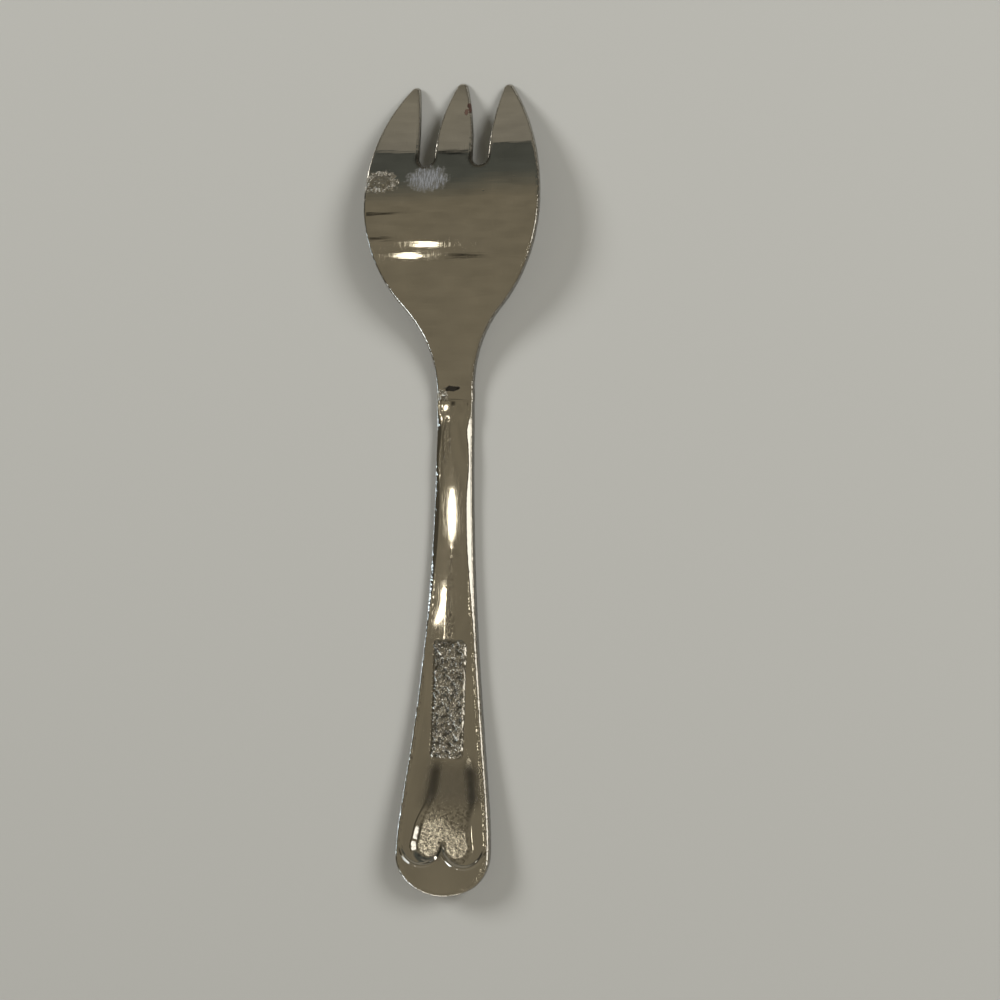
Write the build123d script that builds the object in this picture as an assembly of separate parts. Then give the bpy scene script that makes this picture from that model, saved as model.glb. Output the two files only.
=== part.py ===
"""An oyster fork lying face down: an arched three-tined head, seated by its tang in a coined handle."""
from build123d import *
import math
import os

# Driving dimensions in millimetres, angles in degrees.
# Lengths run along the fork from the round end of the handle to the tip of the middle tine.

# Side profile, followed by both pieces
handle_thickness = 2.2
curl_length = 49.0
curl_radius = 268.0
neck_lead = 5.0
neck_bend_radius = 53.0
neck_bend_angle = 20.5

# Head
head_length = 58.4
head_width = 32.8
head_neck_width = 7.0
head_neck_length = 2.1
head_neck_thickness = 1.6
tip_thickness = 1.1
belly_position = 35.8
belly_radius = 28.5
shoulder_radius = 38.0
head_edge_radius = 0.3

# Tines
tine_length = 16.1
middle_tine_width = 7.0
middle_tine_radius = 40.0
slot_width = 3.0
outer_tine_radius = 65.0
outer_tip_setback = 0.5
tip_radius = 1.0

# Handle
handle_length = 89.9
handle_neck_width = 6.8
handle_end_width = 17.7
end_radius = 11.0
end_corner_radius = 7.0
end_sweep = 11.0
neck_sweep = 50.0
back_edge_radius = 0.7
front_edge_radius = 0.4

# Coined relief of the handle
rim_width = 1.2
border_depth = 0.2
border_top_gap = 2.0
lobe_radius = 4.0
lobe_spacing = 7.8
lobe_bottom = 5.4
field_depth = 0.15
field_top_width = 1.2
field_top_gap = 3.5
field_waist_width = 6.2
field_waist_position = 30.0
field_lobe_radius = 2.75
field_lobe_spacing = 5.2
field_lobe_bottom = 6.2
panel_width = 5.7
panel_length = 21.3
panel_position = 35.4
panel_corner_radius = 0.8
panel_depth = 0.1

# Seat of the head in the handle
tang_length = 7.0
tang_width = 3.4
tang_thickness = 0.7
tang_clearance = 0.05

# Room that a cutting shape takes past the surface it cuts, and how closely places are compared
overrun = 2.0
touch = 0.001

# Largest share of a width that a rounded edge may take, and how far rounding lifts a tip for each radius
largest_round = 0.7
tip_round_lift = 0.72

fork_length = handle_length + head_length
seam = handle_length
half_thickness = handle_thickness / 2
bend_start = seam - neck_lead
tip_end = fork_length
outer_tip_end = tip_end - outer_tip_setback
slot_root = tip_end - tine_length
half_span = max(head_width, handle_end_width)


def arc_angle(run, radius):
    """Angle that an arc turns over a run square to its starting radius."""
    return math.degrees(math.asin(run / radius))


def profile_curve(offset, tip_height=None):
    """Side curve from before the handle's end to past the tips, at an offset above the middle surface."""
    rise = math.radians(neck_bend_angle)
    curl = curl_radius - offset
    bend = neck_bend_radius - offset
    height = half_thickness + offset
    curl_angle = arc_angle(curl_length + overrun, curl)
    edges = [
        CenterArc((curl_length, height + curl), curl, 270 - curl_angle, curl_angle),
        Line((curl_length, height), (bend_start, height)),
        CenterArc((bend_start, height + bend), bend, 270, neck_bend_angle),
    ]
    if tip_height is None:
        return edges
    crest_start = edges[-1] @ 1
    run = tip_end - crest_start.X
    drop = crest_start.Y - tip_height
    fall = rise + 2 * math.atan2(drop, run)
    crest_radius = run / (math.sin(rise) + math.sin(fall))
    crest_centre = (
        crest_start.X + crest_radius * math.sin(rise),
        crest_start.Y - crest_radius * math.cos(rise),
    )
    past_tip = math.degrees(overrun / crest_radius)
    sweep = neck_bend_angle + math.degrees(fall) + past_tip
    edges.append(CenterArc(crest_centre, crest_radius, 90 + neck_bend_angle, -sweep))
    return edges


def ribbon(lower, upper):
    """Solid between two side curves, across the whole width of the fork."""
    closing = [
        Line(lower[-1] @ 1, upper[-1] @ 1),
        Line(upper[0] @ 0, lower[0] @ 0),
    ]
    side = make_face(lower + upper + closing)
    return extrude(Plane.YZ * side, amount=half_span, both=True)


def layer(lower_offset, upper_offset):
    """Ribbon of even thickness that follows the handle."""
    return ribbon(profile_curve(lower_offset), profile_curve(upper_offset))


def prism(face):
    """Plan face raised through the whole height of the fork."""
    return extrude(face, amount=fork_length, both=True)


def half_plan(edges):
    """Closed plan face from the edges of its right half, which start and end on the middle line."""
    mirrored = [edge.mirror(Plane.YZ) for edge in edges]
    return make_face(edges + mirrored)


def strip(width, start, end):
    """Plan rectangle on the middle line."""
    return Pos(0, (start + end) / 2) * Rectangle(width, end - start)


def head_outline():
    """Plan of the head before its tines are cut: neck, flare, belly and shoulders."""
    half_neck = head_neck_width / 2
    half_head = head_width / 2
    belly_line = seam + belly_position
    flare_run = belly_position - head_neck_length
    flare_spread = half_head - half_neck
    reach = (flare_run**2 + flare_spread**2) / (2 * flare_spread)
    turn = arc_angle(flare_run, reach)
    neck_side = Line((half_neck, seam), (half_neck, seam + head_neck_length))
    flare = JernArc(neck_side @ 1, (0, 1), reach - belly_radius, -turn)
    belly = JernArc(flare @ 1, flare % 1, belly_radius, turn)
    shoulder_turn = arc_angle(tip_end - belly_line, shoulder_radius)
    shoulder = JernArc(belly @ 1, (0, 1), shoulder_radius, shoulder_turn)
    return half_plan([
        Line((0, seam), (half_neck, seam)),
        neck_side,
        flare,
        belly,
        shoulder,
        Line(shoulder @ 1, (0, tip_end)),
    ])


def tine_slot():
    """Plan of the slot on the right of the middle tine, round at its root and open past the tips."""
    root_radius = slot_width / 2
    root_line = slot_root + root_radius
    inner = middle_tine_width / 2
    run = tip_end + overrun - root_line
    outer = inner + slot_width
    middle_turn = arc_angle(run, middle_tine_radius)
    outer_turn = arc_angle(run, outer_tine_radius)
    middle_side = JernArc((inner, root_line), (0, 1), middle_tine_radius, middle_turn)
    outer_side = JernArc((outer, root_line), (0, 1), outer_tine_radius, -outer_turn)
    root = CenterArc((inner + root_radius, root_line), root_radius, 180, 180)
    return make_face([middle_side, outer_side, root, Line(middle_side @ 1, outer_side @ 1)])


def tined_plan():
    """Plan of the head with its slots cut and its tips rounded."""
    slot = tine_slot()
    outer_cut = Pos(0, outer_tip_end) * Rectangle(head_width, overrun, align=(Align.CENTER, Align.MIN))
    middle_keep = strip(middle_tine_width + slot_width, slot_root, tip_end + overrun)
    plan = head_outline() - slot - mirror(slot, Plane.YZ) - (outer_cut - middle_keep)
    tip_edges = plan.edges().filter_by(Axis.X).filter_by_position(Axis.Y, outer_tip_end, tip_end)
    corners = ShapeList(corner for edge in tip_edges for corner in edge.vertices())
    narrowest = min(edge.length for edge in tip_edges)
    return fillet(corners, min(tip_radius, narrowest * largest_round))


def handle_plan(inset=0.0):
    """Plan of the handle, or of the space inside its rim: a round end that sweeps in to the narrow neck."""
    half_end = handle_end_width / 2
    half_neck = handle_neck_width / 2
    corner_x = half_end - end_corner_radius
    end_angle = arc_angle(corner_x, end_radius - end_corner_radius)
    corner_y = end_radius - (end_radius - end_corner_radius) * math.cos(math.radians(end_angle))
    return half_plan([
        CenterArc((0, end_radius), end_radius - inset, 270, end_angle),
        CenterArc((corner_x, corner_y), end_corner_radius - inset, 270 + end_angle, 90 - end_angle),
        Bezier(
            (half_end - inset, corner_y),
            (half_end - inset, corner_y + end_sweep),
            (half_neck - inset, seam - neck_sweep),
            (half_neck - inset, seam),
        ),
        Line((half_neck - inset, seam), (0, seam)),
    ])


def lobe_pair(radius, spacing, bottom):
    """Two discs side by side, whose lower edges make the bracket at the end of the relief."""
    disc = Circle(radius)
    return Pos(spacing / 2, bottom + radius) * disc + Pos(-spacing / 2, bottom + radius) * disc


def border_plan():
    """Sunk border inside the rim, from the neck to the two-lobed bracket."""
    body = strip(half_span, lobe_bottom + lobe_radius, seam - border_top_gap)
    return handle_plan(rim_width) & (body + lobe_pair(lobe_radius, lobe_spacing, lobe_bottom))


def field_plan():
    """Long field down the middle of the border, which widens from the neck to its own two lobes."""
    lobe_line = field_lobe_bottom + field_lobe_radius
    top_line = seam - field_top_gap
    side = ThreePointArc(
        (field_lobe_spacing / 2 + field_lobe_radius, lobe_line),
        (field_waist_width / 2, field_waist_position),
        (field_top_width / 2, top_line),
    )
    taper = half_plan([Line((0, lobe_line), side @ 0), side, Line(side @ 1, (0, top_line))])
    return taper + lobe_pair(field_lobe_radius, field_lobe_spacing, field_lobe_bottom)


def panel_plan():
    """Bare panel stamped across the field."""
    return Pos(0, panel_position) * RectangleRounded(panel_width, panel_length, panel_corner_radius)


def tang_shape(clearance):
    """Flat tongue that follows the side curve into the handle, or the seat for it with a clearance."""
    half = tang_thickness / 2 + clearance
    width = tang_width + 2 * clearance
    plan = strip(width, seam - tang_length - clearance, seam)
    return prism(plan) & layer(-half, half)


def outline_edges(solid):
    """Edges round the plan of a piece, without its uprights, its seam and the joins of its side curves."""
    edges = ShapeList()
    for edge in solid.edges():
        middle = edge @ 0.5
        direction = edge % 0.5
        straight_across = edge.geom_type == GeomType.LINE and abs(direction.X) > 1 - touch
        on_seam = abs(middle.Y - seam) < touch and abs(direction.Y) < touch
        upright = abs(direction.Z) > 1 - touch
        joins_curves = straight_across and middle.Y < slot_root
        if not (on_seam or upright or joins_curves):
            edges.append(edge)
    return edges


def fork_head():
    """Arched sheet with three tines and the tang that holds it."""
    half_neck = head_neck_thickness / 2
    edge_radius = min(head_edge_radius, tip_thickness * largest_round / 2)
    tip_bottom = -edge_radius * tip_round_lift
    under_side = profile_curve(-half_neck, tip_bottom)
    upper_side = profile_curve(half_neck, tip_bottom + tip_thickness)
    blade = prism(tined_plan()) & ribbon(under_side, upper_side)
    return fillet(outline_edges(blade), edge_radius) + tang_shape(0.0)


def rounded_bar():
    """Bar of the handle with its shoulders rounded on the back and eased on the front."""
    bar = prism(handle_plan()) & layer(-half_thickness, half_thickness)
    back_half = layer(0.0, half_thickness + overrun).solid()
    back_edges = ShapeList(edge for edge in outline_edges(bar) if back_half.is_inside(edge @ 0.5))
    bar = fillet(back_edges, min(back_edge_radius, rim_width * largest_round))
    front_edges = ShapeList(edge for edge in outline_edges(bar) if not back_half.is_inside(edge @ 0.5))
    return fillet(front_edges, min(front_edge_radius, rim_width * largest_round))


def handle():
    """Handle with its coined relief on both faces and a seat for the tang."""
    bar = rounded_bar()
    border = prism(border_plan())
    above = half_thickness + overrun
    bar -= border & layer(half_thickness - border_depth, above)
    bar -= border & layer(-above, border_depth - half_thickness)
    field_floor = half_thickness - border_depth - field_depth
    bar -= prism(field_plan()) & layer(field_floor, above)
    bar -= prism(panel_plan()) & layer(field_floor - panel_depth, above)
    return bar - tang_shape(tang_clearance)


os.makedirs("parts", exist_ok=True)
to_middle = Pos(0, -fork_length / 2)
for name, shape in (("fork_head", fork_head()), ("handle", handle())):
    export_step(to_middle * shape, f"parts/{name}.step")
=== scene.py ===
"""Looks of an oyster fork, face down on a pale counter: two plated sheets over the CAD nodes."""
import math

import bpy
import numpy as np
from mathutils import Matrix, Vector, kdtree
from mathutils.geometry import delaunay_2d_cdt


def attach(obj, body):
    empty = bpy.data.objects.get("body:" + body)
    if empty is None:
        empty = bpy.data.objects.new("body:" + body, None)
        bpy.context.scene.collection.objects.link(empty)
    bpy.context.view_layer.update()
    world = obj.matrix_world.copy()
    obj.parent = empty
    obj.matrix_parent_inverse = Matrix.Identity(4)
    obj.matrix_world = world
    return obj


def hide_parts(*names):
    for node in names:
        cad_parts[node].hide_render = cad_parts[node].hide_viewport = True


# Plan lengths are millimetres: across from the middle line, along from the end of the handle.
# Angles are degrees.
MM = 0.001

# Side profile
handle_thickness = 2.2
curl_length = 49.0
curl_radius = 268.0
neck_lead = 5.0
neck_bend_radius = 53.0
neck_bend_angle = 20.5

# Head and tines
head_length = 58.4
head_width = 32.8
head_neck_width = 7.0
head_neck_length = 2.1
head_neck_thickness = 1.6
tip_thickness = 1.1
belly_position = 35.8
belly_radius = 28.5
shoulder_radius = 38.0
head_edge_radius = 0.3
head_back_edge_radius = 0.6
bowl_crown_radius = 1000.0
bowl_crown_offset = 4.9
crest_shift = 1.4
crest_shift_position = 116.0
crest_shift_reach = 18.0
tine_length = 16.1
middle_tine_width = 7.0
middle_tine_radius = 40.0
slot_width = 3.0
# Painted shade round the slots' roots: where it starts and where it is full
slot_shade_start = 0.75
slot_shade_full = 0.35
outer_tine_radius = 65.0
outer_tip_setback = 0.5
tip_radius = 0.9
tip_bottom = -0.216

# Handle and its coined relief
handle_length = 89.9
handle_neck_width = 6.8
handle_end_width = 17.7
end_radius = 11.0
end_corner_radius = 7.0
end_sweep = 11.0
neck_sweep = 50.0
back_edge_radius = 0.35
front_edge_radius = 0.4
rim_width = 1.2
border_depth = 0.02
face_border_depth = 0.1
border_top_gap = 2.0
border_slope = 1.1
border_fade_start = 32.0
border_fade_end = 44.0
bevel_width = 1.15
bevel_low_width = 0.45
bevel_angle = 25.0
bevel_low_angle = 32.5
bevel_fade_start = 46.0
bevel_fade_end = 66.0
bevel_softness = 0.12
bevel_low_softness = 0.15
bevel_taper = 6.0
pinch_depth = 0.45
pinch_position = 78.8
pinch_reach = 4.5
crown_radius = 170.0
crown_tilt = -0.0164
crown_fade_start = 38.0
crown_fade_end = 54.0
neck_crown_radius = 60.0
neck_tilt = 0.006
neck_crown_start = 74.0
neck_crown_end = 86.0
low_tilt = 0.03
straight_end = 17.0
end_thinning = 0.06
end_thinning_start = 6.5
lobe_radius = 4.0
lobe_spacing = 7.8
lobe_bottom = 5.4
lip_height = 0.22
lip_reach = 0.5
field_depth = 0.03
field_top_width = 1.2
field_top_gap = 3.5
field_waist_width = 4.4
field_waist_position = 30.0
field_lobe_radius = 2.75
field_lobe_spacing = 5.2
field_lobe_bottom = 6.2
field_slope = 1.2
field_low_slope = 1.8
field_low_depth = 0.33
field_low_start = 15.0
field_low_end = 26.0
field_skew = 1.35
field_skew_start = 12.0
field_skew_end = 19.0
field_straight_start = 34.0
field_straight_end = 26.0
field_lobe_slope = 1.6
field_lobe_tilt = -0.047
field_lobe_start = 11.0
field_lobe_end = 17.0
pit_low_end = 18.5
pit_fade = 4.0
strip_start = 44.0
strip_end = 64.0
# Darkening of the field: the reach of the painted shade along its walls, and the share of dirt over
# its floor
wall_shade_reach = 0.95
grime_floor = 0.5
upper_wear = 0.4
panel_width = 5.7
panel_length = 21.3
panel_position = 35.4
panel_corner_radius = 0.8
panel_depth = 0.1
panel_slope = 0.7

# Fineness of the sheets
outline_step = 0.16
arc_least_steps = 6
edge_steps = 6
head_step = 0.55
relief_step = 0.16
plain_every = 3
slope_step = 0.01
fill_inside = 1
merge_distance = 1e-6

# Colours of the plate: what it gives to what it mirrors, how it ages, and the dark colour of its
# dirt and of the painted shade on its edges and in its hollows
plate_tint = (0.67, 0.64, 0.585)
aged_shares = (0.96, 0.95, 0.9)
dirt_and_shade_colour = (0.14, 0.13, 0.11)

# Finish of the plate: noises have a scale per metre and a detail, heights are metres
noise_low = 0.3
noise_middle = 0.5
noise_high = 0.7
age_noise = (90.0, 5.0)
haze_noise = (700.0, 4.0)
haze_roughness = (0.02, 0.045)
ripple_noise = (320.0, 1.0)
ripple_height = 1.5e-6
nick_noise = (1200.0, 3.0)
nick_height = 2e-4
scratch_sets = ((8.0, 9000.0), (62.0, 12000.0), (-47.0, 14000.0))
scratch_fineness = 45.0
scratch_start = 0.62
scratch_fade = 0.16
scratch_detail = 2.0
scratch_depth = 2.5e-7
scratch_roughness = 0.05
speck_scale = 240.0
speck_size = 0.05
speck_depth = 3e-5
# Painted shade: how strongly and how tightly the plate's colour darkens towards its upright edges,
# where they mirror the shaded counter
edge_painted_shade = 0.85
edge_painted_shade_power = 2.5
roll_scale = (60.0, 600.0, 60.0)
roll_detail = 3.0
roll_height = 1.6e-5
# Painted shade and dirt in the field: how they vary and how rough they make it
grime_and_shade_noise = (400.0, 3.0)
grime_and_shade_range = (0.85, 1.0)
grime_and_shade_roughness = 0.35
wear_noise = (1500.0, 2.0)
wear_height = 1e-4

# Marks on the back: middle in the plan, size across and along, raggedness
scuff_spot = ((-4.3, 129.7), (8.5, 5.0), 1.0)
cluster_spot = ((-13.4, 129.4), (7.0, 4.0), 1.2)
rust_spot = ((2.3, 143.3), (1.2, 2.6), 2.4)
small_rust_spot = ((1.7, 142.3), (0.9, 1.4), 2.6)
neck_spot = ((-0.5, 92.2), (2.9, 1.1), 1.2)
burr_spot = ((-2.4, 90.8), (2.2, 2.0), 1.0)
streak_spot = ((-1.4, 82.5), (1.6, 9.0), 1.4)
spot_noise = (1800.0, 3.0)
spot_full = 0.6

# Colours laid over some of the marks: deposits on the scuff and the rust, and a near-black spot at
# the neck
scuff_colour = (0.36, 0.37, 0.39)
rust_colour = (0.06, 0.03, 0.022)
small_rust_colour = (0.10, 0.06, 0.045)
neck_colour = (0.015, 0.012, 0.008)
stain_roughness = 0.5
stain_cover = 3.0

# Strokes of the scuff: their turn, scale, fineness and start, and how they mix with its haze
scuff_strokes = (12.0, 4500.0, 7.0, 0.42)
scuff_stroke_share = 0.4
scuff_haze = 0.15

# Struck, grainy metal: scale, height, roughness and dirt
cluster_grain = (1300.0, 1.6e-4, 0.02, 0.2)
burr_grain = (900.0, 3e-4, 0.02, 0.0)
pitted_grain = (2000.0, 1e-5, 0.03, 0.5)
speckled_grain = (1700.0, 5e-5, 0.04, 0.6)
stippled_grain = (1000.0, 3.2e-4, 0.02, 0.75)
streak_grain = (1800.0, 6e-5, 0.02, 0.2)
grain_detail = 2.0
grain_dirty = 0.65
grain_clean = 1.05

# Counter
counter_size = 6.0
counter_colour = (0.46, 0.46, 0.435)
counter_roughness = 0.8
counter_specular = 0.1

# Room that the plate mirrors, by the angle from overhead towards the tines. Places across it
# and heights in it are parts of a direction of length 1.
room_colours = {
    -90: (0.30, 0.28, 0.24),
    -40: (0.21, 0.185, 0.135),
    17: (0.20, 0.177, 0.13),
    30: (0.085, 0.09, 0.08),
    39.5: (0.08, 0.084, 0.075),
    41.2: (0.06, 0.063, 0.057),
    41.5: (0.235, 0.22, 0.185),
    90: (0.28, 0.26, 0.21),
}
wall_step_start = -0.265
wall_step_end = -0.24
wall_step = -3.4
left_start = -0.75
left_end = -0.42
left_strength = 0.35
horizon_start = 0.08
horizon_end = 0.4
horizon_strength = 0.25
shade_direction = (0.264, 0.0, 0.964)
shade_start = 0.966
shade_end = 0.988
shade_strength = 0.3
band_stretch = 4.0
band_noise = (14.0, 3.0)
band_strength = (0.88, 1.12)

# Thin dark beams of the room: angle, and start and end across. Half widths are radians.
room_beams = (
    (40.6, -0.292, -0.252),
    (12.7, -0.42, -0.318),
    (0.2, -0.40, -0.325),
    (-7.8, -0.282, -0.243),
)
beam_core = 0.009
beam_reach = 0.019
beam_dimming = 0.75
beam_end_fade = 0.012

# Camera: distance in metres, point of the middle line that it turns to, lens in millimetres
camera_distance = 0.320
camera_tilt = 15.32
camera_roll = 1.16
camera_aim = 75.0
camera_lens = 62.59
camera_sensor = 36.0
camera_shift = (0.0438, -0.0172)

# Colours of the lamps
plain = (1.0, 1.0, 1.0)
white = (1.0, 0.98, 0.94)
warm = (1.0, 0.93, 0.76)
daylight = (0.84, 0.92, 1.0)
sky = (0.7, 0.85, 1.0)

# Lamps: name, place and size in metres, radiance and colour
room_lamps = (
    ("ceiling_near", (-0.469, -0.042, 1.5), (0.056, 0.037), 4.5, warm),
    ("ceiling_far", (-0.495, -0.148, 1.5), (0.056, 0.037), 4.5, warm),
    ("right_window", (0.62, 0.0, 0.68), (0.5, 0.5), 1.5, white),
)

# Lamps that the plate mirrors, but that don't light the counter
mirror_lamps = (
    ("left_window", (-0.94, -0.09, 0.165), (0.14, 0.24), 7.5, sky),
    ("far_window", (-0.9, 0.52, 0.21), (0.16, 0.32), 9.0, white),
    ("corner_window", (-0.63, -0.58, 0.52), (0.3, 0.3), 4.0, daylight),
    ("near_window", (-0.25, -0.95, 0.2), (0.6, 0.28), 5.0, white),
)

# Lamps that light the counter, but that the plate doesn't mirror
counter_lamps = (
    ("overhead", (0.0, 0.1, 1.6), (2.0, 2.0), 0.1, plain),
    ("right_softbox", (0.8, 0.45, 0.75), (0.48, 0.48), 14.6, plain),
    ("left_softbox", (-0.8, 0.45, 0.75), (0.48, 0.48), 14.0, plain),
)

fork_length = handle_length + head_length
half_thickness = handle_thickness / 2
bend_start = handle_length - neck_lead
slot_root = fork_length - tine_length
root_line = slot_root + slot_width / 2
outer_tip_end = fork_length - outer_tip_setback
belly_line = handle_length + belly_position


def smooth_step(value):
    """Soft ramp from 0 to 1."""
    clipped = np.clip(value, 0.0, 1.0)
    return clipped * clipped * (3 - 2 * clipped)


def share_between(value, start, end):
    """Soft share that goes from 0 at one value to 1 at another."""
    return smooth_step((value - start) / (end - start))


def side_height(along, offset, tip_height=None):
    """Height of a side curve of the fork, at an offset above the middle surface of the handle."""
    rise = math.radians(neck_bend_angle)
    curl = curl_radius - offset
    bend = neck_bend_radius - offset
    base = half_thickness + offset
    bend_run = bend * math.sin(rise)
    curled = curl - np.sqrt(curl**2 - np.clip(curl_length - along, 0, None) ** 2)
    bent = bend - np.sqrt(bend**2 - np.clip(along - bend_start, 0, bend_run) ** 2)
    height = base + curled + bent
    if tip_height is None:
        return height
    crest_start = bend_start + bend_run
    crest_height = base + bend * (1 - math.cos(rise))
    run = fork_length - crest_start
    fall = rise + 2 * math.atan2(crest_height - tip_height, run)
    radius = run / (math.sin(rise) + math.sin(fall))
    centre = crest_start + radius * math.sin(rise)
    arched = crest_height - radius * math.cos(rise) + np.sqrt(radius**2 - (along - centre) ** 2)
    return np.where(along < crest_start, height, arched)


def arc_points(centre, radius, start, end, metal_inside=True):
    """Points along an arc between two angles, each with its normal into the metal."""
    length = abs(math.radians(end - start)) * radius
    steps = max(arc_least_steps, math.ceil(length / outline_step))
    angles = np.radians(np.linspace(start, end, steps + 1))
    out = np.stack([np.cos(angles), np.sin(angles)], axis=1)
    return np.hstack([np.array(centre) + radius * out, -out if metal_inside else out])


def line_points(start, end, normal):
    """Points along a straight edge, each with its normal into the metal."""
    steps = max(1, math.ceil(math.dist(start, end) / outline_step))
    share = np.linspace(0.0, 1.0, steps + 1)[:, None]
    points = np.array(start) * (1 - share) + np.array(end) * share
    return np.hstack([points, np.tile(normal, (steps + 1, 1))])


def bezier_points(control, steps):
    """Points along a cubic curve with the metal on its left, each with its normal into it."""
    p = np.array(control)
    t = np.linspace(0.0, 1.0, steps + 1)[:, None]
    u = 1 - t
    points = u**3 * p[0] + 3 * u**2 * t * p[1] + 3 * u * t**2 * p[2] + t**3 * p[3]
    tangent = u**2 * (p[1] - p[0]) + 2 * u * t * (p[2] - p[1]) + t**2 * (p[3] - p[2])
    tangent /= np.linalg.norm(tangent, axis=1, keepdims=True)
    return np.hstack([points, -tangent[:, 1:], tangent[:, :1]])


def chain(segments):
    """One run of outline points from segments that follow each other."""
    return np.vstack([segments[0]] + [segment[1:] for segment in segments[1:]])


def mirrored(run):
    """The same run on the other side of the middle line, walked backwards."""
    return run[::-1] * np.array([-1, 1, -1, 1])


def tip_corner(centre, radius, tip, right_side):
    """Centre of the round corner at a tine's tip, and the angle where it meets the tine's side."""
    up = tip - tip_radius - centre[1]
    across = math.sqrt((radius - tip_radius) ** 2 - up**2)
    across = across if right_side else -across
    return (centre[0] + across, tip - tip_radius), math.degrees(math.atan2(up, across))


def head_outline():
    """Outline of the head from the right of its neck, round the tines, to the left of its neck."""
    half_neck = head_neck_width / 2
    half_head = head_width / 2
    half_tine = middle_tine_width / 2
    flare_line = handle_length + head_neck_length
    flare_run = belly_position - head_neck_length
    flare_spread = half_head - half_neck
    reach = (flare_run**2 + flare_spread**2) / (2 * flare_spread)
    turn = math.degrees(math.asin(flare_run / reach))
    flare_radius = reach - belly_radius
    shoulder = (half_head - shoulder_radius, belly_line)
    inner_side = (half_tine + slot_width + outer_tine_radius, root_line)
    middle_side = (half_tine - middle_tine_radius, root_line)
    outer_corner, outer_angle = tip_corner(shoulder, shoulder_radius, outer_tip_end, True)
    inner_corner, inner_angle = tip_corner(inner_side, outer_tine_radius, outer_tip_end, False)
    middle_corner, middle_angle = tip_corner(middle_side, middle_tine_radius, fork_length, True)
    right = chain([
        line_points((half_neck, handle_length), (half_neck, flare_line), (-1, 0)),
        arc_points((half_neck + flare_radius, flare_line), flare_radius, 180, 180 - turn, False),
        arc_points((half_head - belly_radius, belly_line), belly_radius, -turn, 0),
        arc_points(shoulder, shoulder_radius, 0, outer_angle),
        arc_points(outer_corner, tip_radius, outer_angle, 90),
        line_points((outer_corner[0], outer_tip_end), (inner_corner[0], outer_tip_end), (0, -1)),
        arc_points(inner_corner, tip_radius, 90, inner_angle),
        arc_points(inner_side, outer_tine_radius, inner_angle, 180),
        arc_points((half_tine + slot_width / 2, root_line), slot_width / 2, 0, -180, False),
        arc_points(middle_side, middle_tine_radius, 0, middle_angle),
        arc_points(middle_corner, tip_radius, middle_angle, 90),
        line_points((middle_corner[0], fork_length), (0, fork_length), (0, -1)),
    ])
    return chain([right, mirrored(right)])


def handle_half_outline():
    """Outline of the right half of the handle, from the middle of its end to the neck."""
    half_end = handle_end_width / 2
    half_neck = handle_neck_width / 2
    corner_x = half_end - end_corner_radius
    end_angle = math.degrees(math.asin(corner_x / (end_radius - end_corner_radius)))
    corner_y = end_radius - (end_radius - end_corner_radius) * math.cos(math.radians(end_angle))
    sweep = [
        (half_end, corner_y),
        (half_end, corner_y + end_sweep),
        (half_neck, handle_length - neck_sweep),
        (half_neck, handle_length),
    ]
    return chain([
        arc_points((0, end_radius), end_radius, 270, 270 + end_angle),
        arc_points((corner_x, corner_y), end_corner_radius, 270 + end_angle, 360),
        bezier_points(sweep, math.ceil(handle_length / outline_step)),
    ])


handle_half = handle_half_outline()


def rim_distance(across, along):
    """Distance in from the side of the handle."""
    side = np.interp(along, handle_half[:, 1], handle_half[:, 0])
    squareness = np.interp(along, handle_half[:, 1], -handle_half[:, 2])
    return (side - np.abs(across)) * squareness


def lobe_distance(across, along, radius, spacing, bottom):
    """Distance in from the two-lobed lower end of a sunk area, which is open above its lobes."""
    lobe_line = bottom + radius
    from_centre = np.hypot(np.abs(across) - spacing / 2, along - lobe_line)
    return np.maximum(radius - from_centre, along - lobe_line)


def border_distance(across, along):
    """Distance in from the edge of the sunk border."""
    lobes = lobe_distance(across, along, lobe_radius, lobe_spacing, lobe_bottom)
    top = handle_length - border_top_gap - along
    return np.minimum(np.minimum(rim_distance(across, along) - rim_width, top), lobes)


def field_side():
    """Centre and radius of the arc down the side of the field."""
    lobe_line = field_lobe_bottom + field_lobe_radius
    low = np.array([field_lobe_spacing / 2 + field_lobe_radius, lobe_line])
    waist = np.array([field_waist_width / 2, field_waist_position])
    top = np.array([field_top_width / 2, handle_length - field_top_gap])
    rows = np.array([waist - low, top - low])
    centre = np.linalg.solve(2 * rows, (rows * (rows + 2 * low)).sum(axis=1))
    return centre, np.linalg.norm(centre - low)


field_centre, field_radius = field_side()


def field_distance(across, along):
    """Distance in from the edge of the long field, which is struck off the middle for a stretch."""
    above = share_between(along, field_skew_start, field_skew_end)
    below = share_between(along, field_straight_start, field_straight_end)
    skewed = across - field_skew * above * below
    side = np.hypot(np.abs(skewed) - field_centre[0], along - field_centre[1]) - field_radius
    over_lobes = along - field_lobe_bottom - field_lobe_radius
    lobes = field_lobe_radius - np.hypot(np.abs(across) - field_lobe_spacing / 2, over_lobes)
    top = handle_length - field_top_gap - along
    return np.minimum(np.maximum(np.minimum(side, over_lobes), lobes), top)


def panel_distance(across, along):
    """Distance in from the edge of the bare panel."""
    over_x = np.abs(across) - panel_width / 2 + panel_corner_radius
    over_y = np.abs(along - panel_position) - panel_length / 2 + panel_corner_radius
    outside = np.hypot(np.clip(over_x, 0, None), np.clip(over_y, 0, None))
    return panel_corner_radius - outside - np.minimum(np.maximum(over_x, over_y), 0)


def sunk(distance, slope):
    """Share of the full depth at a distance in from an edge that slopes softly."""
    return smooth_step(0.5 + distance / slope)


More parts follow.
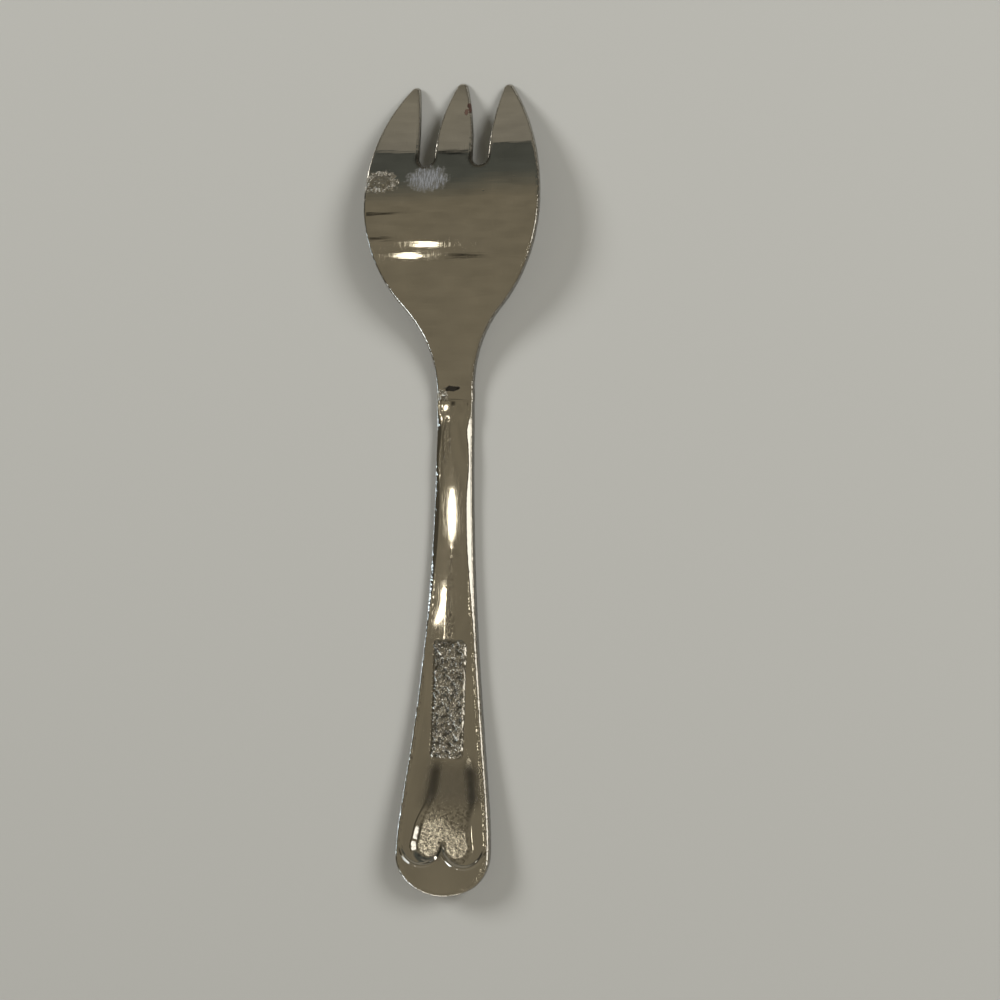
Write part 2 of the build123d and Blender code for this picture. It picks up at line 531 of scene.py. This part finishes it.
def bevel_drop(inset, along):
    """Depth of the bevel at a distance in from the edge: wide near the neck, narrow below."""
    upper = share_between(along, bevel_fade_start, bevel_fade_end)
    pinch = 1 - pinch_depth * np.exp(-(((along - pinch_position) / pinch_reach) ** 2))
    taper = share_between(along, handle_length, handle_length - bevel_taper)
    width = bevel_low_width + (bevel_width * pinch * taper - bevel_low_width) * upper
    softness = bevel_low_softness + (bevel_softness - bevel_low_softness) * upper
    angle = bevel_low_angle + (bevel_angle - bevel_low_angle) * upper
    run = width - inset
    turning = (run + softness).clip(0) ** 2 / (4 * softness)
    return np.tan(np.radians(angle)) * np.where(run > softness, run, turning)


def crown_drop(across, along):
    """Fall of the back to each side: rounded near the neck, flatter below, with a slight twist."""
    upper = share_between(along, crown_fade_start, crown_fade_end)
    neck = share_between(along, neck_crown_start, neck_crown_end)
    tilt = low_tilt + (crown_tilt - low_tilt) * upper + (neck_tilt - crown_tilt) * neck
    curvature = upper / crown_radius + neck * (1 / neck_crown_radius - 1 / crown_radius)
    return curvature * across**2 / 2 + tilt * across


def handle_back(plan):
    """Height of the handle's back: crowned and bevelled near the neck, coined further down."""
    across, along = plan[:, 0], plan[:, 1]
    upper = share_between(along, border_fade_start, border_fade_end)
    low = share_between(along, field_low_end, field_low_start)
    lobes = share_between(along, field_lobe_end, field_lobe_start)
    border = (1 - upper) * sunk(border_distance(across, along), border_slope)
    slope = field_slope + (field_low_slope - field_slope) * low
    slope = slope + (field_lobe_slope - field_low_slope) * lobes
    depth = field_depth * (1 - upper) + field_low_depth * low + field_lobe_tilt * across * lobes
    field = depth * sunk(field_distance(across, along), slope)
    panel = sunk(panel_distance(across, along), panel_slope)
    bevel = bevel_drop(rim_distance(across, along), along)
    thinned = np.clip(straight_end - along, 0, None) ** 2 / (2 * curl_radius)
    thinned += end_thinning * np.clip(1 - along / end_thinning_start, 0, None) ** 2
    relief = border_depth * border + field + panel_depth * panel + bevel
    relief = relief + crown_drop(across, along) + thinned
    return side_height(along, half_thickness) - relief + lip(across, along)


def lip(across, along):
    """Height of the narrow ridge round the bottom of the two lobes."""
    lobe_line = lobe_bottom + lobe_radius
    from_arc = lobe_radius - np.hypot(np.abs(across) - lobe_spacing / 2, along - lobe_line)
    below = share_between(along, lobe_line, lobe_line - lobe_radius / 2)
    return lip_height * below * (1 - np.minimum((from_arc / lip_reach) ** 2, 1)) ** 2


def pitted_share(plan):
    """Where the struck metal is pitted, in the lobes of the field."""
    across, along = plan[:, 0], plan[:, 1]
    lobes = share_between(along, pit_low_end, pit_low_end - pit_fade)
    return lobes * sunk(field_distance(across, along), field_slope)


def speckled_share(plan):
    """Where the metal is speckled, in a strip above the panel."""
    across, along = plan[:, 0], plan[:, 1]
    above = share_between(along, strip_start, strip_start + pit_fade)
    below = share_between(along, strip_end, strip_end - pit_fade)
    return above * below * sunk(field_distance(across, along), field_slope)


def grime_and_wall_shade_share(plan):
    """How much the field between panel and lobes is darkened: painted shade along its walls, where
    they would mirror dark, and dirt over its floor.
    """
    across, along = plan[:, 0], plan[:, 1]
    above = share_between(along, pit_low_end - pit_fade, pit_low_end)
    below = share_between(along, field_low_end, field_low_end - pit_fade)
    inset = field_distance(across, along) / field_low_slope
    wall = np.exp(-(inset**2) / wall_shade_reach**2)
    return above * below * np.maximum(wall, grime_floor * sunk(inset, 1))


def worn_share(plan):
    """How worn the rim and the bevels are, most of all down the wide end."""
    upper = share_between(plan[:, 1], bevel_fade_start, bevel_fade_end)
    edge = share_between(rim_distance(plan[:, 0], plan[:, 1]), bevel_width, bevel_low_width)
    return edge * (1 + (upper_wear - 1) * upper)


def stippled_share(plan):
    """Where the bare panel is matted with a stipple."""
    return sunk(panel_distance(plan[:, 0], plan[:, 1]), panel_slope)


def handle_front(plan):
    """Height of the handle's face, which rests on the counter, with its border."""
    across, along = plan[:, 0], plan[:, 1]
    border = sunk(border_distance(across, along), border_slope)
    return side_height(along, -half_thickness) + face_border_depth * border


def bowl_crown(plan):
    """How far the head falls away to each side, between its neck and its tines."""
    along = plan[:, 1]
    rounded = share_between(along, handle_length, belly_line)
    rounded = rounded * share_between(along, fork_length, slot_root)
    return rounded * (plan[:, 0] - bowl_crown_offset) ** 2 / (2 * bowl_crown_radius)


def shifted(along):
    """Places along the side curve, with the crest moved a little towards the tines."""
    turn = np.clip((along - crest_shift_position) / crest_shift_reach, -1, 1) * math.pi / 2
    return along - crest_shift * np.cos(turn) ** 2


def head_back(plan):
    """Height of the head's convex back."""
    height = side_height(shifted(plan[:, 1]), head_neck_thickness / 2, tip_bottom + tip_thickness)
    return height - bowl_crown(plan)


def head_front(plan):
    """Height of the head's hollow face."""
    return side_height(shifted(plan[:, 1]), -head_neck_thickness / 2, tip_bottom) - bowl_crown(plan)


def slot_root_shade(plan):
    """Painted shade along the edge of the slots' roots, where the rims would mirror the shaded
    counter.
    """
    across = np.abs(plan[:, 0]) - (middle_tine_width + slot_width) / 2
    from_root = np.hypot(across, plan[:, 1] - root_line) - slot_width / 2
    root = share_between(plan[:, 1], root_line + slot_width, root_line)
    return root * share_between(from_root, slot_shade_start, slot_shade_full)


def surface_normals(height, plan):
    """Upward normals of a height function."""
    slopes = []
    for step in ((slope_step, 0.0), (0.0, slope_step)):
        slopes.append((height(plan + step) - height(plan - step)) / (2 * slope_step))
    normals = np.stack([-slopes[0], -slopes[1], np.ones(len(plan))], axis=1)
    return normals / np.linalg.norm(normals, axis=1, keepdims=True)


def staggered_points(outline, step):
    """Points in staggered rows over the box of an outline, with their row and column numbers."""
    low = outline[:, :2].min(axis=0)
    high = outline[:, :2].max(axis=0)
    rows = np.arange(math.ceil((high[1] - low[1]) / step))
    columns = np.arange(math.ceil((high[0] - low[0]) / step))
    column, row = np.meshgrid(columns, rows)
    across = low[0] + (column + 0.5 * (row // plain_every % 2)) * step
    along = low[1] + (row + 0.5) * step
    return np.stack([across.ravel(), along.ravel()], axis=1), row.ravel(), column.ravel()


def head_points(outline):
    """Points that carry the head's surfaces."""
    return staggered_points(outline, head_step)[0]


def handle_points(outline):
    """Points that carry the handle's surfaces, close together where the relief changes."""
    points, row, column = staggered_points(outline, relief_step)
    across, along = points[:, 0], points[:, 1]
    near_edge = np.abs(border_distance(across, along)) < border_slope
    near_edge |= np.abs(field_distance(across, along)) < field_slope
    near_edge |= rim_distance(across, along) < bevel_width + bevel_softness
    near_edge |= np.abs(panel_distance(across, along)) < panel_slope
    near_edge |= along < field_lobe_end
    plain_point = (row % plain_every == 0) & (column % plain_every == 0)
    return points[near_edge | plain_point]


def clear_of(points, loop, gap):
    """The points that lie more than a gap away from a loop."""
    tree = kdtree.KDTree(len(loop))
    for index, place in enumerate(loop):
        tree.insert((place[0], place[1], 0.0), index)
    tree.balance()
    return [place for place in points if tree.find((place[0], place[1], 0.0))[2] > gap]


class Sheet:
    """Points, normals and faces of a plated sheet, gathered side by side."""

    def __init__(self, outline):
        self.outline = outline
        self.places = []
        self.normals = []
        self.edge_shares = []
        self.back_shares = []
        self.faces = []
        self.seam_face = None

    def add_points(self, plan, heights, normals, edge_share, facing):
        """Adds points and gives their numbers."""
        first = sum(len(block) for block in self.places)
        self.places.append(np.column_stack([plan, heights]))
        self.normals.append(normals)
        self.edge_shares.append(np.full(len(plan), edge_share))
        self.back_shares.append(np.full(len(plan), max(facing, 0.0)))
        return np.arange(first, first + len(plan))

    def add_side(self, height, edge_radius, points, facing):
        """Adds one face with its rounded edge. Gives its outer loop and its row along the seam."""
        around = self.outline[:, :2]
        inward = self.outline[:, 2:]
        outward = np.column_stack([-inward, np.zeros(len(inward))])
        loops = []
        for angle in np.radians(np.linspace(0, 90, edge_steps + 1)):
            plan = around + inward * edge_radius * (1 - math.cos(angle))
            heights = np.maximum(height(plan) - facing * edge_radius * (1 - math.sin(angle)), 0.0)
            normals = facing * math.sin(angle) * surface_normals(height, plan)
            normals += math.cos(angle) * outward
            normals /= np.linalg.norm(normals, axis=1, keepdims=True)
            loops.append(self.add_points(plan, heights, normals, math.cos(angle), facing))
        for outer, inner in zip(loops, loops[1:]):
            self.add_strip(outer, inner, facing)
        loop = around + inward * edge_radius
        seam_steps = math.ceil(np.ptp(loop[[0, -1], 0]) / head_step)
        seam = np.linspace(loop[-1], loop[0], seam_steps + 1)[1:-1]
        border = np.vstack([loop, seam])
        inner_points = clear_of(points, border, relief_step / 2)
        coordinates = [Vector(place) for place in (*border, *inner_points)]
        whole = [list(range(len(border)))]
        filled = delaunay_2d_cdt(coordinates, [], whole, fill_inside, merge_distance)
        places, _, triangles, sources, _, _ = filled
        numbers = {}
        for target, source in enumerate(sources):
            if source[0] < len(loop):
                numbers[target] = int(loops[-1][source[0]])
        used = sorted({corner for triangle in triangles for corner in triangle} - set(numbers))
        plan = np.array([tuple(places[target]) for target in used])
        normals = facing * surface_normals(height, plan)
        added = self.add_points(plan, height(plan), normals, 0.0, facing)
        numbers.update(zip(used, added.tolist()))
        for triangle in triangles:
            corners = [numbers[corner] for corner in triangle]
            self.faces.append(corners if facing > 0 else corners[::-1])
        seam_numbers = {}
        for target, source in enumerate(sources):
            if target in numbers:
                seam_numbers[source[0]] = numbers[target]
        seam_row = [seam_numbers[source] for source in reversed(range(len(loop), len(border)))]
        first_ends = [int(ring[0]) for ring in loops]
        last_ends = [int(ring[-1]) for ring in loops]
        return loops[0], first_ends + seam_row + last_ends[::-1]

    def add_strip(self, outer, inner, facing):
        """Adds quads between two loops that run the same way round."""
        for a, b, c, d in zip(outer, outer[1:], inner[1:], inner):
            corners = [int(a), int(b), int(c), int(d)]
            self.faces.append(corners if facing > 0 else corners[::-1])

    def close(self, back, front):
        """Adds the wall between the two faces and the flat end at the seam."""
        self.add_strip(front[0], back[0], 1)
        self.seam_face = len(self.faces)
        self.faces.append(back[1] + front[1][::-1])

    def build(self, name, seam_normal, back_marks):
        """Makes the sheet an object in the fork's frame, with shares that its material reads."""
        places = np.vstack(self.places)
        back = np.concatenate(self.back_shares)
        shares = {"edge": np.concatenate(self.edge_shares), "back": back}
        for mark, share in back_marks.items():
            shares[mark] = back * share(places[:, :2])
        places[:, 1] -= fork_length / 2
        normals = np.vstack(self.normals)
        mesh = bpy.data.meshes.new(name)
        mesh.from_pydata((places * MM).tolist(), [], self.faces)
        corner_normals = []
        for number, face in enumerate(self.faces):
            if number == self.seam_face:
                corner_normals.extend([seam_normal] * len(face))
            else:
                corner_normals.extend(normals[face].tolist())
        mesh.shade_smooth()
        mesh.normals_split_custom_set(corner_normals)
        for mark, values in shares.items():
            attribute = mesh.attributes.new(mark, "FLOAT", "POINT")
            attribute.data.foreach_set("value", values.astype(np.float32))
        piece = bpy.data.objects.new(name, mesh)
        bpy.context.scene.collection.objects.link(piece)
        return piece


def head_piece():
    """The arched head with its tines."""
    outline = head_outline()
    points = head_points(outline)
    sheet = Sheet(outline)
    back = sheet.add_side(head_back, head_back_edge_radius, points, 1)
    front = sheet.add_side(head_front, head_edge_radius, points, -1)
    sheet.close(back, front)
    return sheet.build("plated_head", (0, -1, 0), {"shade_and_grime": slot_root_shade})


def handle_piece():
    """The handle with its coined back."""
    outline = chain([mirrored(handle_half), handle_half])
    points = handle_points(outline)
    sheet = Sheet(outline)
    back = sheet.add_side(handle_back, back_edge_radius, points, 1)
    front = sheet.add_side(handle_front, front_edge_radius, points, -1)
    sheet.close(back, front)
    marks = {
        "pitted": pitted_share,
        "speckled": speckled_share,
        "stippled": stippled_share,
        "worn": worn_share,
        "shade_and_grime": grime_and_wall_shade_share,
    }
    return sheet.build("plated_handle", (0, 1, 0), marks)


def plan_point(across, along):
    """Place in the fork's frame of a point of its plan."""
    return Vector((across * MM, (along - fork_length / 2) * MM, 0.0))


def put(tree, kind, sockets=None, **options):
    """Adds a node, sets its options and fills its sockets with values or links."""
    made = tree.nodes.new(kind)
    for name, value in options.items():
        setattr(made, name, value)
    for name, value in (sockets or {}).items():
        if isinstance(value, bpy.types.NodeSocket):
            tree.links.new(value, made.inputs[name])
        else:
            made.inputs[name].default_value = value
    return made


def maths(tree, operation, *values, clamp=False):
    """Result of an operation on sockets or numbers."""
    sockets = dict(enumerate(values))
    return put(tree, "ShaderNodeMath", sockets, operation=operation, use_clamp=clamp).outputs[0]


def times(tree, first, second):
    """Product of two sockets or numbers."""
    return maths(tree, "MULTIPLY", first, second)


def plus(tree, first, second):
    """Sum of two sockets or numbers."""
    return maths(tree, "ADD", first, second)


def vector_maths(tree, operation, *values):
    """Node with the result of an operation on vectors."""
    return put(tree, "ShaderNodeVectorMath", dict(enumerate(values)), operation=operation)


def ramp_between(tree, value, start, end, low=0.0, high=1.0):
    """Even ramp from one result at the start to another at the end, and level beyond them."""
    sockets = {0: value, 1: start, 2: end, 3: low, 4: high}
    return put(tree, "ShaderNodeMapRange", sockets).outputs[0]


def noise_at(tree, place, scale, detail):
    """Even noise from 0 to 1."""
    sockets = {"Vector": place, "Scale": scale, "Detail": detail}
    return put(tree, "ShaderNodeTexNoise", sockets).outputs[0]


def mixed(tree, share, first, second):
    """Colour that goes from the first to the second with a share."""
    sockets = {0: share, 6: first, 7: second}
    return put(tree, "ShaderNodeMix", sockets, data_type="RGBA").outputs[2]


def scratches(tree, place, turn, scale, fineness, start):
    """Thin straight marks that run one way across the plan, where stretched noise is high."""
    turned = put(tree, "ShaderNodeMapping", {
        "Vector": place,
        "Rotation": (0.0, 0.0, math.radians(turn)),
        "Scale": (scale, scale / fineness, scale / fineness),
    })
    noise = noise_at(tree, turned.outputs[0], 1.0, scratch_detail)
    return ramp_between(tree, noise, start, start + scratch_fade)


class Plate:
    """Polished plate over steel: a mirror with haze, fine scratches, nicked edges and stains, and
    painted shade that darkens its upright edges.
    """

    def __init__(self, name):
        self.material = bpy.data.materials.new(name)
        self.material.use_nodes = True
        self.tree = self.material.node_tree
        self.tree.nodes.clear()
        self.place = put(self.tree, "ShaderNodeTexCoord").outputs["Object"]
        self.relief = []
        self.roughness = [self.noise_range(*haze_noise, *haze_roughness)]
        self.stains = []
        self.dirt_and_shade = []
        self.add_relief(self.noise(*ripple_noise), ripple_height)
        self.add_relief(self.noise(*nick_noise), times(self.tree, self.share("edge"), nick_height))
        for turn, scale in scratch_sets:
            marks = scratches(self.tree, self.place, turn, scale, scratch_fineness, scratch_start)
            self.add_relief(marks, -scratch_depth)
            self.roughness.append(times(self.tree, marks, scratch_roughness))
        self.add_specks()

    def share(self, mark):
        """A share that the mesh carries."""
        return put(self.tree, "ShaderNodeAttribute", attribute_name=mark).outputs["Fac"]

    def spot(self, centre, size, ragged):
        """Share of a ragged spot on the back, sized in millimetres across and along."""
        tree = self.tree
        away = vector_maths(tree, "SUBTRACT", self.place, plan_point(*centre))
        stretch = (2 / (size[0] * MM), 2 / (size[1] * MM), 0.0)
        scaled = vector_maths(tree, "MULTIPLY", away.outputs[0], stretch)
        distance = vector_maths(tree, "LENGTH", scaled.outputs[0])
        wander = maths(tree, "SUBTRACT", self.noise(*spot_noise), noise_middle)
        reach = maths(tree, "MULTIPLY_ADD", wander, ragged, distance.outputs["Value"])
        return times(tree, ramp_between(tree, reach, 1.0, spot_full), self.share("back"))

    def noise(self, scale, detail):
        """Even noise from 0 to 1 over the plate."""
        return noise_at(self.tree, self.place, scale, detail)

    def noise_range(self, scale, detail, low, high):
        """Noise spread over a range of values."""
        noise = self.noise(scale, detail)
        return ramp_between(self.tree, noise, noise_low, noise_high, low, high)

    def add_relief(self, height, depth):
        """Adds a fine relief, with its full height in metres."""
        self.relief.append(times(self.tree, height, depth))

    def add_specks(self):
        """Adds small pits far apart."""
        sockets = {"Vector": self.place, "Scale": speck_scale}
        cells = put(self.tree, "ShaderNodeTexVoronoi", sockets)
        pit = ramp_between(self.tree, cells.outputs["Distance"], 0.0, speck_size, 1.0, 0.0)
        self.add_relief(pit, -speck_depth)

    def add_grain(self, share, scale, depth, roughness, dirt):
        """Adds struck, grainy metal over a share of the surface."""
        sockets = {"Vector": self.place, "Scale": scale}
        cells = put(self.tree, "ShaderNodeTexVoronoi", sockets, feature="SMOOTH_F1")
        both = plus(self.tree, cells.outputs["Distance"], self.noise(2 * scale, grain_detail))
        self.add_relief(both, times(self.tree, share, depth))
        self.roughness.append(times(self.tree, share, roughness))
        low = ramp_between(self.tree, both, grain_dirty, grain_clean, dirt, 0.0)
        self.dirt_and_shade.append(times(self.tree, low, share))

    def add_stain(self, share, colour):
        """Adds a dull coloured deposit over a share of the surface."""
        self.stains.append((share, colour))
        self.roughness.append(times(self.tree, share, stain_roughness))

    def total(self, sockets):
        """Sum of a list of sockets."""
        result = sockets[0]
        for socket in sockets[1:]:
            result = plus(self.tree, result, socket)
        return result

    def finish(self):
        """Joins everything into the plate's shader."""
        tree = self.tree
        aged = [value * share for value, share in zip(plate_tint, aged_shares)]
        colour = mixed(tree, self.noise(*age_noise), (*plate_tint, 1.0), (*aged, 1.0))
        # Painted shade darkens the colour towards the upright edges; dirt in the grain, and the
        # painted shade and dirt in hollows, darken it too
        edge = maths(tree, "POWER", self.share("edge"), edge_painted_shade_power)
        for share in (times(tree, edge, edge_painted_shade), *self.dirt_and_shade):
            colour = mixed(tree, share, colour, (*dirt_and_shade_colour, 1.0))
        for share, stain in self.stains:
            full = maths(tree, "MULTIPLY", share, stain_cover, clamp=True)
            colour = mixed(tree, full, colour, (*stain, 1.0))
        height = {"Strength": 1.0, "Distance": 1.0, "Height": self.total(self.relief)}
        bump = put(tree, "ShaderNodeBump", height)
        shader = put(tree, "ShaderNodeBsdfPrincipled", {
            "Base Color": colour,
            "Metallic": 1.0,
            "Roughness": self.total(self.roughness),
            "Normal": bump.outputs[0],
        })
        if self.stains:
            stained = self.total([share for share, _ in self.stains])
            bare = maths(tree, "SUBTRACT", 1.0, stained, clamp=True)
            tree.links.new(bare, shader.inputs["Metallic"])
        put(tree, "ShaderNodeOutputMaterial", {"Surface": shader.outputs[0]})
        return self.material


def head_material():
    """Plate of the head, with the scuff, rust and stains that the photographed fork has, and
    painted shade round the slots' roots.
    """
    plate = Plate("plated_head")
    tree = plate.tree
    rolled = put(tree, "ShaderNodeMapping", {"Vector": plate.place, "Scale": roll_scale})
    plate.add_relief(noise_at(tree, rolled.outputs[0], 1.0, roll_detail), roll_height)
    # Painted shade round the slots' roots, where the rims mirror the shaded counter
    plate.dirt_and_shade.append(plate.share("shade_and_grime"))
    scuff = plate.spot(*scuff_spot)
    strokes = scratches(tree, plate.place, *scuff_strokes)
    haze = plus(tree, times(tree, strokes, scuff_stroke_share), scuff_haze)
    plate.add_stain(times(tree, scuff, haze), scuff_colour)
    plate.add_grain(plate.spot(*cluster_spot), *cluster_grain)
    plate.add_stain(plate.spot(*rust_spot), rust_colour)
    plate.add_stain(plate.spot(*small_rust_spot), small_rust_colour)
    # Near-black spot at the neck, by the seam
    plate.add_stain(plate.spot(*neck_spot), neck_colour)
    plate.add_grain(plate.spot(*burr_spot), *burr_grain)
    return plate.finish()


def handle_material():
    """Plate of the handle, grainy where the die struck it hardest, and darker in the field with
    dirt and painted shade.
    """
    plate = Plate("plated_handle")
    tree = plate.tree
    plate.add_grain(plate.share("pitted"), *pitted_grain)
    plate.add_grain(plate.share("speckled"), *speckled_grain)
    plate.add_grain(plate.share("stippled"), *stippled_grain)
    plate.add_grain(plate.spot(*streak_spot), *streak_grain)
    # Painted shade along the field's walls and dirt over its floor, darkened unevenly and made
    # rougher
    grime_and_shade = times(tree, plate.share("shade_and_grime"), plate.noise_range(*grime_and_shade_noise, *grime_and_shade_range))
    plate.dirt_and_shade.append(grime_and_shade)
    plate.roughness.append(times(tree, grime_and_shade, grime_and_shade_roughness))
    plate.add_relief(plate.noise(*wear_noise), times(tree, plate.share("worn"), wear_height))
    return plate.finish()


def floor_material():
    """Pale plain counter."""
    material = bpy.data.materials.new("counter")
    material.use_nodes = True
    shader = material.node_tree.nodes["Principled BSDF"]
    shader.inputs["Base Color"].default_value = (*counter_colour, 1.0)
    shader.inputs["Roughness"].default_value = counter_roughness
    shader.inputs["Specular IOR Level"].default_value = counter_specular
    return material


def add_floor():
    """Wide counter under the fork."""
    bpy.ops.mesh.primitive_plane_add(size=counter_size)
    floor = bpy.context.object
    floor.name = "counter"
    floor.data.materials.append(floor_material())


def add_lamp(name, place, size, radiance, colour):
    """Oval lamp that faces the fork, sized level with the counter and the other way."""
    data = bpy.data.lights.new(name, "AREA")
    data.shape = "ELLIPSE"
    data.size, data.size_y = size
    data.energy = radiance * math.pi * math.pi * size[0] * size[1] / 4
    data.color = colour
    lamp = bpy.data.objects.new(name, data)
    lamp.location = place
    lamp.rotation_euler = Vector(place).to_track_quat("Z", "Y").to_euler()
    bpy.context.scene.collection.objects.link(lamp)
    return lamp


def beam(tree, angle, across, height, start, end):
    """Strength that dims along a thin dark beam, at an angle and between two places across."""
    away = maths(tree, "SUBTRACT", angle, math.radians(height))
    off = maths(tree, "ABSOLUTE", away)
    near = ramp_between(tree, off, beam_core, beam_reach, beam_dimming, 0.0)
    opened = ramp_between(tree, across, start, start + beam_end_fade)
    closed = ramp_between(tree, across, end, end - beam_end_fade)
    share = times(tree, near, times(tree, opened, closed))
    return maths(tree, "SUBTRACT", 1.0, share)


def add_world():
    """Room that the plate mirrors: warm overhead, paler beyond the tines, darker to the left."""
    world = bpy.data.worlds.new("room")
    bpy.context.scene.world = world
    world.use_nodes = True
    tree = world.node_tree
    tree.nodes.clear()
    direction = put(tree, "ShaderNodeTexCoord").outputs["Generated"]
    way = put(tree, "ShaderNodeSeparateXYZ", {0: direction})
    across = way.outputs["X"]
    angle = maths(tree, "ARCTAN2", way.outputs["Y"], way.outputs["Z"])
    step = ramp_between(tree, across, wall_step_start, wall_step_end, 0.0, math.radians(wall_step))
    share = ramp_between(tree, plus(tree, angle, step), -math.pi / 2, math.pi / 2)
    ramp = put(tree, "ShaderNodeValToRGB", {0: share})
    elements = ramp.color_ramp.elements
    while len(elements) < len(room_colours):
        elements.new(0.5)
    for element, (degrees, colour) in zip(elements, room_colours.items()):
        element.position = (degrees + 90) / 180
        element.color = (*colour, 1.0)
    left = ramp_between(tree, across, left_start, left_end, left_strength, 1.0)
    low = ramp_between(tree, way.outputs["Z"], horizon_start, horizon_end, horizon_strength, 1.0)
    facing = vector_maths(tree, "DOT_PRODUCT", direction, shade_direction).outputs["Value"]
    shade = ramp_between(tree, facing, shade_start, shade_end, 1.0, shade_strength)
    strength = times(tree, times(tree, left, low), shade)
    stretched = {"X": times(tree, across, band_stretch), "Y": angle}
    across_room = put(tree, "ShaderNodeCombineXYZ", stretched)
    bands = noise_at(tree, across_room.outputs[0], *band_noise)
    uneven = ramp_between(tree, bands, noise_low, noise_high, *band_strength)
    strength = times(tree, strength, uneven)
    for height, start, end in room_beams:
        strength = times(tree, strength, beam(tree, angle, across, height, start, end))
    light = {"Color": ramp.outputs[0], "Strength": strength}
    background = put(tree, "ShaderNodeBackground", light)
    put(tree, "ShaderNodeOutputWorld", {"Surface": background.outputs[0]})


def add_camera():
    """Camera above the fork and to its right, as in the photograph."""
    tilt = math.radians(camera_tilt)
    roll = math.radians(camera_roll)
    along_x = Vector((math.cos(roll), math.sin(roll), 0.0))
    up = Vector((-math.sin(roll), math.cos(roll), 0.0))
    towards = math.sin(tilt) * along_x + math.cos(tilt) * Vector((0, 0, 1))
    right = up.cross(towards)
    data = bpy.data.cameras.new("camera")
    data.lens = camera_lens
    data.sensor_width = camera_sensor
    data.shift_x, data.shift_y = camera_shift
    camera = bpy.data.objects.new("camera", data)
    turn = Matrix((right, up, towards)).transposed().to_4x4()
    place = plan_point(0.0, camera_aim) + towards * camera_distance
    camera.matrix_world = Matrix.Translation(place) @ turn
    bpy.context.scene.collection.objects.link(camera)
    bpy.context.scene.camera = camera


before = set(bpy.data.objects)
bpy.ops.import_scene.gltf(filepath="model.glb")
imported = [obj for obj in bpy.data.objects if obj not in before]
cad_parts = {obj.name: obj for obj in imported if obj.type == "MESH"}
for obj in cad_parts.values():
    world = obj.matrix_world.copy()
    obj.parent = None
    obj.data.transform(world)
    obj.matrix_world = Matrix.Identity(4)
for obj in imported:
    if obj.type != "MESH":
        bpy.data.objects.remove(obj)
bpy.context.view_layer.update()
head = head_piece()
handle = handle_piece()
plated = ((head, "fork_head", head_material()), (handle, "handle", handle_material()))
for piece, node, material in plated:
    piece.data.materials.append(material)
    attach(piece, "root")
    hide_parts(node)
add_floor()
add_world()
add_camera()
for lamp in room_lamps:
    add_lamp(*lamp)
for lamp in mirror_lamps:
    add_lamp(*lamp).visible_diffuse = False
for lamp in counter_lamps:
    add_lamp(*lamp).visible_glossy = False
bpy.context.scene.view_settings.view_transform = "Standard"
